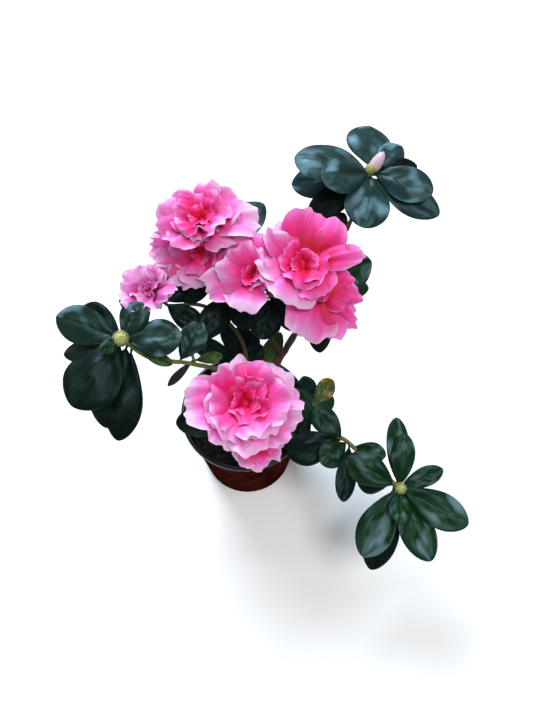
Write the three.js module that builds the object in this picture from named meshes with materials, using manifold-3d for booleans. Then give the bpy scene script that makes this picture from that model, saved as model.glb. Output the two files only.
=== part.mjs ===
// A small double-flowered azalea in a 9 cm plastic pot, in millimetres, +Z up.
// The origin is the centre of the pot's flat underside.
import * as THREE from "three";
import { mergeVertices } from "three/addons/utils/BufferGeometryUtils.js";
import Module from "manifold-3d";

const wasm = await Module();
wasm.setup();

// ---- driving dimensions -------------------------------------------------
const CLEARANCE = 0.3; // between neighbouring solids
const SMALLEST_DETAIL = 0.1; // finer steps than this are smoothed away
const POT = {
  height: 80,
  rimRadius: 45,
  baseRadius: 34.5,
  wall: 1.3,
  lipHeight: 4,
  lipOverhang: 2.4,
  lipWidth: 2.2,
  edge: 0.8,
  base: 1.6,
  drainHoles: 5,
  drainRadius: 3,
  drainRing: 21,
  drainSides: 8,
  facets: 32,
};
const SOIL = { top: 67, shoulder: 4, drop: 2 };
const LIMB = { sides: 7, stepsPerSpan: 3 };
const STEM = { sides: 4, stepsPerSpan: 2 };
// An outline gives half widths, as shares of the greatest, at shares of the length.
const LEAF = {
  outline: [[0, 0], [0.2, 0.46], [0.55, 0.98], [0.85, 0.76], [1, 0.15]],
  thickness: 0.8,
  stalkWidth: 1.6,
  droop: 26,
  droopSpread: 10,
  fold: 0.08,
  foldSpread: 0.05,
};
const PETAL = {
  outline: [[0, 0.25], [0.4, 0.8], [0.74, 0.97], [1, 0.42]],
  thickness: 1.2,
  rootWidth: 5,
  cup: 0.15,
  cupSpread: 0.07,
};
const BUD = { outline: [0.28, 0.48, 0.24], belly: 0.55, sides: 6, steps: 4 };
// Depth, mouth and rise are shares of the bloom's radius; the bend is a share of the stalk's length.
const FUNNEL = { depth: 0.62, mouth: 0.34, rise: 0.56, foot: 1.8, sides: 7, steps: 6 };
const STALK = { radii: [0.9, 1.0], bend: 0.3 };
// A petal's angles from the bloom's axis at its foot and tip, in degrees, and the place of its
// root up the funnel and out from its middle, as shares of the bloom's radius.
const OUTER_PETALS = { lean: 48, bend: 96, up: 0.3, out: 0.1 };
const CROWN_PETALS = { lean: 34, bend: 78, up: 0.4, out: 0.08 };

// Leaves turn their upper faces this way.
const LIGHT = [0.05, -0.5, 0.86];

const POT_PLASTIC = { color: 0x3e1912, roughness: 0.6 };
const POTTING_SOIL = { color: 0x17120e, roughness: 1 };
const BARK = { color: 0x3a2a1e, roughness: 0.85 };
const GREEN_STEM = { color: 0x6f7a35, roughness: 0.7 };
const FOLIAGE = { color: 0x1e3427, roughness: 0.42 };
const BLOSSOM = { color: 0xe86cae, roughness: 0.6 };

// Each limb tapers along its route, from its radius at the foot to that at the tip.
const TRUNK = {
  route: [[0, 0, SOIL.top + CLEARANCE], [3, 2, 76], [8, 6, 89]],
  radii: [6.2, 3.7, 3.2],
};
const BOUGHS = {
  bough_back_right: {
    route: [[8, 6, 88], [19, 15, 105], [27, 22, 121], [35, 25, 142], [46, 36, 166], [62, 60, 192]],
    radii: [2.6, 1.3],
    look: BARK,
  },
  bough_back_left: {
    route: [[26, 21, 117], [13, 31, 134], [-4, 46, 154], [-17, 57, 171]],
    radii: [1.6, 1.1],
    look: BARK,
  },
  bough_middle: {
    route: [[34, 24, 138], [29, 25, 153], [19, 29, 168]],
    radii: [1.5, 1.1],
    look: BARK,
  },
  bough_right_flowers: {
    route: [[36, 26, 144], [42, 27, 158], [45, 32, 171]],
    radii: [1.5, 1.2],
    look: BARK,
  },
  bough_left: {
    route: [[6, 4, 84], [-1, 7, 103], [-7, 5, 120], [-21, 2, 134], [-36, -2, 146]],
    radii: [1.9, 1.2],
    look: GREEN_STEM,
  },
  bough_small_flower: {
    route: [[-3, 7, 111], [2, 15, 121], [-3, 27, 132], [-14, 35, 142], [-27, 37, 151], [-45, 30, 160]],
    radii: [1.4, 1.0],
    look: GREEN_STEM,
  },
  bough_front: {
    route: [[7, 4, 87], [8, -5, 101], [6, -14, 115]],
    radii: [2.0, 1.5],
    look: BARK,
  },
  bough_right: {
    route: [[6, 3, 80], [24, -5, 90], [44, -17, 95], [60, -28, 97]],
    radii: [2.0, 1.3],
    look: GREEN_STEM,
  },
};

// A mass of leaves: its own stem, then leaves as [place along the stem, turn, pitch, length, width].
// Turn is the compass angle from +X and pitch the angle above level, both of the leaf's chord.
const FOLIAGE_MASSES = {
  foliage_left: {
    stem: [[-36.4, -2.1, 146.3], [-52, -5, 156], [-66, -1, 169.5]],
    radii: [1.2, 1.6],
    leaves: [
      [1.0, 162, 6, 41, 21], [0.97, 141, 2, 36, 17], [1.0, 55, 31, 24, 16], [0.97, 1, 6, 34, 20],
      [0.99, -124, -14, 46, 31], [0.9, -104, -24, 49, 27], [0.82, -101, -34, 55, 21],
      [1.0, -127, 20, 16, 8], [0.9, 176, -22, 46, 13], [0.02, 58, 26, 28, 16], [0.9, 88, -14, 38, 15],
      [0.7, -10, -26, 21, 7],
    ],
    buds: [{ turn: -90, pitch: 62, reach: 7, size: 8.6 }],
    seed: 11,
  },
  foliage_left_inner: {
    stem: [[-28.7, 1.4, 140.8], [-30, 4, 146], [-31, 6, 151]],
    radii: [0.9, 0.9],
    leaves: [
      [0.9, 49, 16, 38, 17], [0.5, 70, 10, 13, 12], [0.1, 4, 10, 18, 7], [0.15, -141, -25, 23, 5],
    ],
    buds: [],
    seed: 17,
  },
  foliage_back_right: {
    stem: [[62.3, 60.5, 192.5], [69, 73, 203], [76, 87, 213]],
    radii: [1.3, 1.6],
    leaves: [
      [0.98, 171, 6, 46, 23], [0.97, -156, 12, 34, 20], [0.93, 170, -16, 48, 21],
      [0.96, -99, -14, 37, 25], [0.98, -31, 2, 38, 19], [0.9, -30, -10, 46, 18], [1.0, 88, 8, 36, 27],
      [0.97, 46, 4, 30, 15], [0.92, 15, 2, 30, 12], [0.85, -161, -24, 40, 16], [0.06, 120, 0, 14, 8],
    ],
    buds: [
      { turn: 40, pitch: 50, reach: 12, size: 7 },
      { turn: -150, pitch: 55, reach: 5, size: 5 },
    ],
    seed: 23,
  },
  foliage_right: {
    stem: [[60.5, -28.3, 97], [68, -33, 97], [84, -48, 93.5], [98, -61, 91.5]],
    radii: [1.3, 1.6],
    leaves: [
      [0.97, 87, 20, 44, 15], [1.0, 83, 32, 35, 14], [0.99, 18, 16, 30, 12], [0.98, -32, 4, 46, 21],
      [0.99, -71, -6, 46, 21], [1.0, -98, 12, 25, 13], [0.97, -121, -12, 48, 22],
      [0.93, -109, -24, 55, 20], [0.97, 151, 10, 36, 20], [0.9, 177, -6, 22, 15],
      [0.05, 133, 12, 43, 15], [0.1, 140, 26, 28, 16], [0.1, -167, -6, 38, 21],
      [0.16, -139, 4, 24, 16], [0.2, -99, -14, 37, 13], [0.25, -20, 6, 22, 12],
    ],
    buds: [{ turn: -70, pitch: 65, reach: 6.5, size: 7.4 }],
    seed: 37,
  },
  foliage_right_inner: {
    stem: [[43.8, -15.5, 96.2], [45, -12, 101], [46, -9, 106]],
    radii: [0.9, 0.9],
    leaves: [[0.9, 50, 12, 22, 13], [0.7, 29, -4, 17, 13], [0.3, -125, -8, 24, 14], [0.8, 105, 10, 22, 12]],
    buds: [],
    seed: 43,
  },
  foliage_centre: {
    stem: [[5.5, 8.5, 86], [-1, 16, 102], [-5, 20, 116]],
    radii: [1.5, 1.1],
    leaves: [
      [0.95, 109, 50, 21, 12], [0.9, 119, 50, 29, 10], [0.85, 80, 45, 28, 12], [0.7, 40, 30, 22, 13],
      [0.8, 60, 35, 26, 14], [0.9, 175, 35, 36, 13], [0.5, -151, 50, 36, 10], [0.12, 51, 50, 49, 13],
    ],
    buds: [],
    seed: 41,
  },
  foliage_small_flower: {
    stem: [[-45.3, 30.2, 160.3], [-47.6, 31, 162.5], [-50, 31.5, 165]],
    radii: [1.0, 0.9],
    leaves: [[0.3, 52, -10, 26, 15], [0.3, -28, -20, 28, 14], [0.6, 174, -6, 28, 14], [0.5, 97, 0, 35, 14]],
    buds: [],
    seed: 53,
  },
  foliage_back_left: {
    stem: [[-17.3, 57.3, 171.4], [-19, 59, 174], [-20, 60, 176]],
    radii: [1.1, 1.0],
    leaves: [
      [0.7, 37, 22, 45, 20], [0.5, 172, -10, 37, 18], [0.4, -127, -30, 34, 18], [0.8, 102, 2, 36, 16],
      [0.6, 29, 0, 26, 14],
    ],
    buds: [],
    seed: 61,
  },
  foliage_middle: {
    stem: [[18.6, 29.1, 168.5], [16.6, 29.8, 170.5], [15, 30, 172.5]],
    radii: [1.1, 1.0],
    leaves: [
      [0.3, -150, -18, 28, 20], [0.2, -106, -34, 26, 18], [0.6, -33, -40, 30, 13], [0.5, 108, -6, 32, 15],
    ],
    buds: [],
    seed: 67,
  },
  foliage_right_flowers: {
    stem: [[45.2, 32.4, 171.4], [46.5, 34, 174], [47.5, 35.5, 176.5]],
    radii: [1.2, 1.0],
    leaves: [
      [0.6, 27, 4, 36, 21], [0.5, 7, -12, 32, 13], [0.3, -87, -40, 39, 15], [0.9, 69, 0, 34, 15],
      [0.1, -124, -50, 30, 9],
    ],
    buds: [],
    seed: 71,
  },
  foliage_front: {
    stem: [[4.3, 0, 80], [1.5, -10, 89], [0, -16, 96]],
    radii: [1.4, 1.0],
    leaves: [[0.9, -172, 8, 46, 21], [0.7, -26, -2, 45, 18], [0.95, 153, 14, 42, 14], [0.5, 5, 4, 44, 14]],
    buds: [],
    seed: 79,
  },
};

// A bloom: the middle of its face, the way it faces, its size across, how far it has opened and
// the bough that carries it. Petals are [turn round the face, reach from its middle, width].
const BLOOMS = {
  bloom_front: {
    face: [3, -30, 150],
    faces: [0, -0.28, 0.96],
    across: 58,
    open: 1,
    foot: "bough_front",
    outer: [
      [88, 26, 25], [32, 29, 32], [-10, 33, 28], [-40, 32, 26], [-76, 30, 32], [-114, 29, 28],
      [182, 35, 32], [140, 27, 24],
    ],
    crown: [
      [100, 20, 36], [165, 20, 28], [-150, 23, 28], [-102, 23, 34], [-58, 24, 30], [-5, 25, 28], [50, 23, 27],
    ],
    seed: 101,
  },
  bloom_front_low: {
    face: [9, -42, 119],
    faces: [0.2, -0.8, 0.56],
    across: 34,
    open: 0.9,
    foot: "bough_front",
    outer: [[-90, 18, 22], [-132, 17, 20], [-48, 18, 18], [-8, 17, 18], [180, 14, 18], [60, 13, 18]],
    crown: [[-100, 11, 20], [-20, 11, 18], [140, 10, 18]],
    seed: 103,
  },
  bloom_upper_left: {
    face: [-22, 55.5, 209],
    faces: [-0.1, -0.3, 0.95],
    across: 48,
    open: 1,
    foot: "bough_back_left",
    outer: [
      [185, 25.5, 26], [160, 23, 26], [120, 18, 24], [58, 20.5, 28], [22, 24.5, 26], [-11, 34, 22],
      [-38, 25, 26], [-88, 14.5, 26], [-142, 21.5, 26],
    ],
    crown: [[95, 13, 24], [30, 15, 24], [-30, 17, 24], [-80, 12, 26], [-130, 14, 22], [165, 16, 24]],
    seed: 107,
  },
  bloom_upper_left_low: {
    face: [-24, 46, 189],
    faces: [-0.35, -0.8, 0.5],
    across: 42,
    open: 0.95,
    foot: "bough_back_left",
    outer: [
      [178, 31, 24], [-158, 29, 22], [-145, 26, 24], [-124, 24, 24], [-97, 20.5, 26], [-68, 17, 24],
      [0, 23, 24], [70, 12, 20],
    ],
    crown: [[-100, 13, 26], [-40, 14, 24], [20, 15, 24], [170, 16, 24]],
    seed: 109,
  },
  bloom_middle: {
    face: [6, 26, 193],
    faces: [-0.4, -0.5, 0.76],
    across: 38,
    open: 0.95,
    foot: "bough_middle",
    outer: [
      [-107, 20.5, 26], [-165, 28.5, 21], [162, 23, 22], [91, 24, 26], [40, 16, 20], [-50, 11, 14],
    ],
    crown: [[175, 17, 22], [100, 16, 20], [20, 13, 20], [-60, 8, 14]],
    seed: 113,
  },
  bloom_right: {
    face: [35, 26, 204],
    faces: [0, -0.42, 0.9],
    across: 44,
    open: 1,
    foot: "bough_right_flowers",
    outer: [
      [70, 28, 36], [124, 26, 26], [168, 25, 28], [-122, 24, 34], [8, 32, 14], [-62, 21, 24],
      [40, 23, 18],
    ],
    crown: [[-95, 15, 22], [-30, 13, 20], [160, 12, 18]],
    seed: 127,
  },
  bloom_right_low: {
    face: [46, 18, 188],
    faces: [0.36, -0.74, 0.56],
    across: 40,
    open: 0.95,
    foot: "bough_right_flowers",
    outer: [[-116, 28, 32], [-78, 28, 26], [-44, 29, 15], [-14, 23, 22], [22, 19, 19], [170, 14, 18]],
    crown: [[-20, 15, 18]],
    seed: 131,
  },
  bloom_small_left: {
    face: [-53, 27, 178],
    faces: [-0.2, -0.3, 0.93],
    across: 28,
    open: 0.65,
    foot: "bough_small_flower",
    outer: [[150, 15, 19], [80, 14, 19], [20, 14, 19], [-60, 15, 20], [-130, 16, 20], [-25, 23, 17]],
    crown: [[110, 9, 15], [-10, 9, 15], [-120, 9, 16]],
    seed: 137,
  },
};

// ---- small helpers --------------------------------------------------------
const rad = THREE.MathUtils.degToRad;
const mix = THREE.MathUtils.lerp;
const vec = (point) => new THREE.Vector3(...point);
const cross = (a, b) => new THREE.Vector3().crossVectors(a, b).normalize();

// A unit vector at an angle from one direction towards another at right angles to it.
const between = (from, to, angle) =>
  from.clone().multiplyScalar(Math.cos(angle)).addScaledVector(to, Math.sin(angle));

function direction(turn, pitch) {
  const level = between(new THREE.Vector3(1, 0, 0), new THREE.Vector3(0, 1, 0), rad(turn));
  return between(level, new THREE.Vector3(0, 0, 1), rad(pitch));
}

// Repeatable random numbers from 0 to 1 (mulberry32).
function seeded(seed) {
  let state = seed >>> 0;
  return () => {
    state = (state + 0x6d2b79f5) >>> 0;
    let t = state;
    t = Math.imul(t ^ (t >>> 15), t | 1);
    t ^= t + Math.imul(t ^ (t >>> 7), t | 61);
    return ((t ^ (t >>> 14)) >>> 0) / 4294967296;
  };
}

const spread = (draw, amount) => (draw() * 2 - 1) * amount;

function manifoldOf(points, triangles) {
  const vertProperties = new Float32Array(points);
  const triVerts = new Uint32Array(triangles);
  return new wasm.Manifold(new wasm.Mesh({ numProp: 3, vertProperties, triVerts }));
}

// A closed solid from rings of points: neighbours are joined, and each end is closed by a fan.
function loft(rings) {
  const count = rings[0].length;
  const points = rings.flat();
  const faces = [];
  for (let r = 0; r + 1 < rings.length; r++) {
    for (let i = 0; i < count; i++) {
      const a = r * count + i;
      const b = r * count + ((i + 1) % count);
      faces.push([a, b, b + count], [a, b + count, a + count]);
    }
  }
  const last = (rings.length - 1) * count;
  for (let i = 1; i + 1 < count; i++) {
    faces.push([0, i + 1, i], [last, last + i, last + i + 1]);
  }
  let volume = 0;
  for (const [a, b, c] of faces) {
    volume += points[a].dot(points[b].clone().cross(points[c]));
  }
  const outward = ([a, b, c]) => (volume < 0 ? [a, c, b] : [a, b, c]);
  return manifoldOf(
    points.flatMap((point) => point.toArray()),
    faces.flatMap(outward),
  );
}

function solidOf(geometry) {
  const bare = geometry.clone();
  bare.deleteAttribute("normal");
  bare.deleteAttribute("uv");
  const merged = mergeVertices(bare, 1e-4);
  return manifoldOf(merged.attributes.position.array, merged.index.array);
}

// ---- shapes -----------------------------------------------------------------
// A round limb along a smooth route, its radius running through the given ones.
function limb({ route, radii }, sides, steps, grow) {
  const line = new THREE.CatmullRomCurve3(route.map(vec));
  const frames = line.computeFrenetFrames(steps, false);
  const rings = [];
  for (let i = 0; i <= steps; i++) {
    const along = i / steps;
    const span = along * (radii.length - 1);
    const low = Math.min(Math.floor(span), radii.length - 2);
    const radius = mix(radii[low], radii[low + 1], span - low) + grow;
    const end = i === 0 ? -grow : i === steps ? grow : 0;
    const centre = line.getPointAt(along).addScaledVector(frames.tangents[i], end);
    const ring = [];
    for (let k = 0; k < sides; k++) {
      const outward = between(frames.normals[i], frames.binormals[i], (k / sides) * 2 * Math.PI);
      ring.push(centre.clone().addScaledVector(outward, radius));
    }
    rings.push(ring);
  }
  return loft(rings);
}

// A thin blade of diamond section that walks off from its foot. At each station of its outline it
// heads the way that wayAt gives, with its upper face towards the cross product of way and side.
function blade(foot, side, wayAt, shape, grow) {
  const { outline, length, width, leastWidth, thickness, lift } = shape;
  const at = foot.clone();
  const rings = [];
  outline.forEach(([s, share], i) => {
    const way = wayAt(s);
    const up = cross(way, side);
    at.addScaledVector(way, i === 0 ? 0 : (s - outline[i - 1][0]) * length);
    const end = i === 0 ? -grow : i === outline.length - 1 ? grow : 0;
    const middle = at.clone().addScaledVector(way, end);
    const half = Math.max(share * width, leastWidth) / 2 + grow;
    const thick = thickness / 2 + grow;
    rings.push([
      middle.clone().addScaledVector(side, half).addScaledVector(up, lift * half),
      middle.clone().addScaledVector(up, thick),
      middle.clone().addScaledVector(side, -half).addScaledVector(up, lift * half),
      middle.clone().addScaledVector(up, -thick),
    ]);
  });
  return loft(rings);
}

// A leaf arches over its chord, with its upper face towards the light.
function leaf(foot, { turn, pitch, droop, ...shape }, grow) {
  const chord = direction(turn, pitch);
  const side = cross(vec(LIGHT), chord);
  const face = cross(chord, side);
  const wayAt = (s) => between(chord, face, rad(droop * (0.5 - s)));
  return blade(foot, side, wayAt, { ...LEAF, ...shape, leastWidth: LEAF.stalkWidth }, grow);
}

// A petal leaves its foot near the bloom's axis and bends outwards, cupped across.
function petal(foot, axis, out, { lean, bend, ...shape }, grow) {
  const side = cross(out, axis);
  const wayAt = (s) => between(axis, out, mix(lean, bend, s));
  return blade(foot, side, wayAt, { ...PETAL, ...shape, leastWidth: PETAL.rootWidth }, grow);
}

// ---- nodes --------------------------------------------------------------------
const root = new THREE.Group();
// Each solid placed so far, grown by the clearance that later solids are cut back to.
const keptClear = [];

function boxesMeet(a, b) {
  return [0, 1, 2].every((k) => a.min[k] <= b.max[k] && b.min[k] <= a.max[k]);
}

// The main body of a solid, without loose scraps and with any sealed hollow filled.
function mainBody(solid) {
  const bodies = new wasm.Manifold(solid.getMesh()).decompose();
  return bodies.reduce((a, b) => (a.volume() < b.volume() ? b : a));
}

// Gathers a node's pieces, each one as it is and grown by the clearance.
class Pieces {
  plain = [];
  grown = [];

  add(make) {
    this.plain.push(make(0));
    this.grown.push(make(CLEARANCE));
  }
}

function addNode(name, pieces, look) {
  let body = wasm.Manifold.union(pieces.plain);
  for (const other of keptClear) {
    if (boxesMeet(body.boundingBox(), other.boundingBox())) body = body.subtract(other);
  }
  body = mainBody(mainBody(body).asOriginal().simplify(SMALLEST_DETAIL));
  keptClear.push(mainBody(wasm.Manifold.union(pieces.grown)));
  const made = body.getMesh();
  const geometry = new THREE.BufferGeometry()
    .setAttribute("position", new THREE.BufferAttribute(new Float32Array(made.vertProperties), 3))
    .setIndex(new THREE.BufferAttribute(new Uint32Array(made.triVerts), 1));
  geometry.computeVertexNormals();
  const mesh = new THREE.Mesh(geometry, new THREE.MeshStandardMaterial({ metalness: 0, ...look }));
  mesh.name = name;
  root.add(mesh);
}

function lathe(profile) {
  const points = profile.map(([r, z]) => new THREE.Vector2(r, z));
  return solidOf(new THREE.LatheGeometry(points, POT.facets).rotateX(Math.PI / 2));
}

const lipFoot = POT.height - POT.lipHeight;

// The radius of the pot's outer wall at a height.
const wallRadius = (z) => mix(POT.baseRadius, POT.rimRadius - POT.lipOverhang, z / lipFoot);

function potShell(grow) {
  const inner = (z) => wallRadius(z) - POT.wall - grow;
  const rim = POT.rimRadius + grow;
  return lathe([
    [0, -grow],
    [POT.baseRadius - POT.edge + grow, -grow],
    [POT.baseRadius + grow, POT.edge],
    [wallRadius(lipFoot) + grow, lipFoot - grow],
    [rim - POT.edge / 2, lipFoot - grow],
    [rim, lipFoot + POT.edge],
    [rim, POT.height - POT.edge],
    [rim - POT.edge, POT.height + grow],
    [POT.rimRadius - POT.lipWidth - grow, POT.height + grow],
    [inner(lipFoot), lipFoot - POT.edge],
    [inner(POT.base), POT.base + grow],
    [0, POT.base + grow],
  ]);
}

function makePot() {
  const holes = [];
  for (let i = 0; i < POT.drainHoles; i++) {
    const spot = direction((i / POT.drainHoles) * 360, 0).multiplyScalar(POT.drainRing);
    const drill = new THREE.CylinderGeometry(POT.drainRadius, POT.drainRadius, 3 * POT.base, POT.drainSides)
      .rotateX(Math.PI / 2)
      .translate(spot.x, spot.y, POT.base / 2);
    holes.push(solidOf(drill));
  }
  const drilled = wasm.Manifold.union(holes);
  const pieces = new Pieces();
  pieces.add((grow) => (grow ? potShell(grow) : potShell(grow).subtract(drilled)));
  addNode("pot", pieces, POT_PLASTIC);
}

function makeSoil() {
  const reach = (z) => wallRadius(z) - POT.wall - CLEARANCE;
  const foot = POT.base + CLEARANCE;
  const pieces = new Pieces();
  pieces.add(() =>
    lathe([
      [0, foot],
      [reach(foot), foot],
      [reach(SOIL.top - SOIL.drop), SOIL.top - SOIL.drop],
      [reach(SOIL.top) - SOIL.shoulder, SOIL.top],
      [0, SOIL.top],
    ]),
  );
  addNode("potting_soil", pieces, POTTING_SOIL);
}

function makeLimb(name, spec, look) {
  const pieces = new Pieces();
  const steps = LIMB.stepsPerSpan * (spec.route.length - 1);
  pieces.add((grow) => limb(spec, LIMB.sides, steps, grow));
  addNode(name, pieces, look);
}

function addBud(pieces, foot, { size, reach, turn, pitch }) {
  const tip = foot.clone().addScaledVector(direction(turn, pitch), reach);
  const belly = foot.clone().lerp(tip, BUD.belly);
  const spec = {
    route: [foot, belly, tip].map((point) => point.toArray()),
    radii: BUD.outline.map((share) => share * size),
  };
  pieces.add((grow) => limb(spec, BUD.sides, BUD.steps, grow));
}

function makeFoliage(name, mass) {
  const draw = seeded(mass.seed);
  const pieces = new Pieces();
  const stem = { route: mass.stem, radii: mass.radii };
  const steps = STEM.stepsPerSpan * (mass.stem.length - 1);
  pieces.add((grow) => limb(stem, STEM.sides, steps, grow));
  const line = new THREE.CatmullRomCurve3(mass.stem.map(vec));
  for (const [place, turn, pitch, length, width] of mass.leaves) {
    const shape = {
      turn,
      pitch,
      length,
      width,
      droop: LEAF.droop + spread(draw, LEAF.droopSpread),
      lift: LEAF.fold + spread(draw, LEAF.foldSpread),
    };
    pieces.add((grow) => leaf(line.getPointAt(place), shape, grow));
  }
  for (const bud of mass.buds) {
    addBud(pieces, line.getPointAt(1), bud);
  }
  addNode(name, pieces, FOLIAGE);
}

function makeBloom(name, bloom) {
  const draw = seeded(bloom.seed);
  const pieces = new Pieces();
  const radius = bloom.across / 2;
  const axis = vec(bloom.faces).normalize();
  const right = new THREE.Vector3(1, 0, 0).projectOnPlane(axis).normalize();
  const above = cross(axis, right);
  const foot = vec(bloom.face).addScaledVector(axis, -FUNNEL.depth * radius);
  const tip = vec(BOUGHS[bloom.foot].route.at(-1));
  const elbow = foot.clone().addScaledVector(axis, -STALK.bend * foot.distanceTo(tip));
  const mouth = foot.clone().addScaledVector(axis, FUNNEL.rise * radius);
  const stalk = {
    route: [tip, elbow, foot, mouth].map((point) => point.toArray()),
    radii: [...STALK.radii, FUNNEL.foot, FUNNEL.mouth * radius * bloom.open],
  };
  pieces.add((grow) => limb(stalk, FUNNEL.sides, FUNNEL.steps, grow));
  for (const [whorl, petals] of [[OUTER_PETALS, bloom.outer], [CROWN_PETALS, bloom.crown]]) {
    for (const [turn, reach, width] of petals) {
      const out = between(right, above, rad(turn));
      const rooted = whorl.out * radius * bloom.open;
      const from = foot.clone().addScaledVector(axis, whorl.up * radius).addScaledVector(out, rooted);
      const lean = rad(whorl.lean * bloom.open);
      const bend = rad(whorl.bend * bloom.open);
      // A petal covers this share of its length outwards as it bends.
      const outward = (Math.cos(lean) - Math.cos(bend)) / (bend - lean);
      const shape = {
        length: (reach - rooted) / outward,
        width,
        lean,
        bend,
        lift: PETAL.cup + spread(draw, PETAL.cupSpread),
      };
      pieces.add((grow) => petal(from, axis, out, shape, grow));
    }
  }
  addNode(name, pieces, BLOSSOM);
}

makePot();
makeSoil();
makeLimb("trunk", TRUNK, BARK);
for (const [name, spec] of Object.entries(BOUGHS)) {
  makeLimb(name, spec, spec.look);
}
for (const [name, bloom] of Object.entries(BLOOMS)) {
  makeBloom(name, bloom);
}
for (const [name, mass] of Object.entries(FOLIAGE_MASSES)) {
  makeFoliage(name, mass);
}

export default root;
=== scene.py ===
"""A small potted azalea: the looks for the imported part, built in Blender around its frame."""

import math

import bpy
import numpy as np
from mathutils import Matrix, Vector


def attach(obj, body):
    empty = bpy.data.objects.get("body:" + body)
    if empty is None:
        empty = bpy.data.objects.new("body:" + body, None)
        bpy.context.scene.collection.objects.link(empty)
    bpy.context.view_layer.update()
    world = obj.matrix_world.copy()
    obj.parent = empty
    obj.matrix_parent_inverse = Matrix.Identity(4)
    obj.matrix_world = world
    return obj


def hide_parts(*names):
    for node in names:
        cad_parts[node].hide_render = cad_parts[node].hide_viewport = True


MM = 0.001
UP = np.array([0.0, 0.0, 1.0])
# Waves start anywhere in this many radians.
ANY_PHASE = 6.3
# Leaves turn their upper faces this way.
LIGHT = np.array([0.05, -0.5, 0.86])

# The pot in millimetres: radii of rim and base, its lip, and the ring of drain holes in its floor.
POT = {
    "height": 80, "rim": 45, "base": 34.5, "wall": 1.3, "lip": 4, "overhang": 2.4, "floor": 1.6,
    "holes": 5, "hole": 3, "ring": 21, "sides": 128,
}
# The soil's level and its gap to the wall, then its ripples and loose crumbs.
EARTH = {
    "top": 67, "dip": 1.2, "gap": 0.4, "skirt": 40, "rings": 60, "sides": 180,
    "ripples": 70, "ripple": 0.24, "crumbs": 420, "crumb_dip": 1.3,
}

# ---- the plant's layout, in millimetres, by the same rule as the CAD source -----------
TRUNK = {"route": [[0, 0, 60], [1, 1, 70], [3, 2, 77], [8, 6, 90]], "radii": [7.0, 5.4, 3.8, 3.2]}
BOUGHS = {
    "bough_back_right": {
        "route": [
            [8, 6, 87], [19, 15, 105], [27, 22, 121], [35, 25, 142], [46, 36, 166], [62, 60, 193],
        ],
        "radii": [2.7, 1.3], "green": False, "tone": 0.5,
    },
    "bough_back_left": {
        "route": [[26, 21, 117], [13, 31, 134], [-4, 46, 154], [-17, 57, 171.5]],
        "radii": [1.6, 1.1], "green": False, "tone": 0.5,
    },
    "bough_middle": {
        "route": [[34, 24, 138], [29, 25, 153], [19, 29, 169]],
        "radii": [1.5, 1.1], "green": False, "tone": 0.5,
    },
    "bough_right_flowers": {
        "route": [[36, 26, 144], [42, 27, 158], [45, 32, 171]],
        "radii": [1.5, 1.2], "green": False, "tone": 0.5,
    },
    "bough_left": {
        "route": [[5, 4, 84], [-1, 7, 103], [-7, 5, 120], [-21, 2, 134], [-36, -2, 146.3]],
        "radii": [1.9, 1.2], "green": True, "tone": 0.5,
    },
    "bough_small_flower": {
        "route": [
            [-3, 7, 111], [2, 15, 121], [-3, 27, 132], [-14, 35, 142], [-27, 37, 151], [-45, 30, 160],
        ],
        # A tone of 0.0 paints this bough darker than the others: painted shade, where leaves shade it.
        "radii": [1.4, 1.0], "green": True, "tone": 0.0,
    },
    "bough_front": {
        "route": [[7, 4, 86], [8, -5, 101], [6, -14, 115]],
        "radii": [2.0, 1.5], "green": False, "tone": 0.4,
    },
    "bough_right": {
        "route": [[5, 3, 80], [24, -5, 90], [44, -17, 95], [60, -28, 97]],
        "radii": [2.0, 1.3], "green": True, "tone": 0.4,
    },
}
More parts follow.
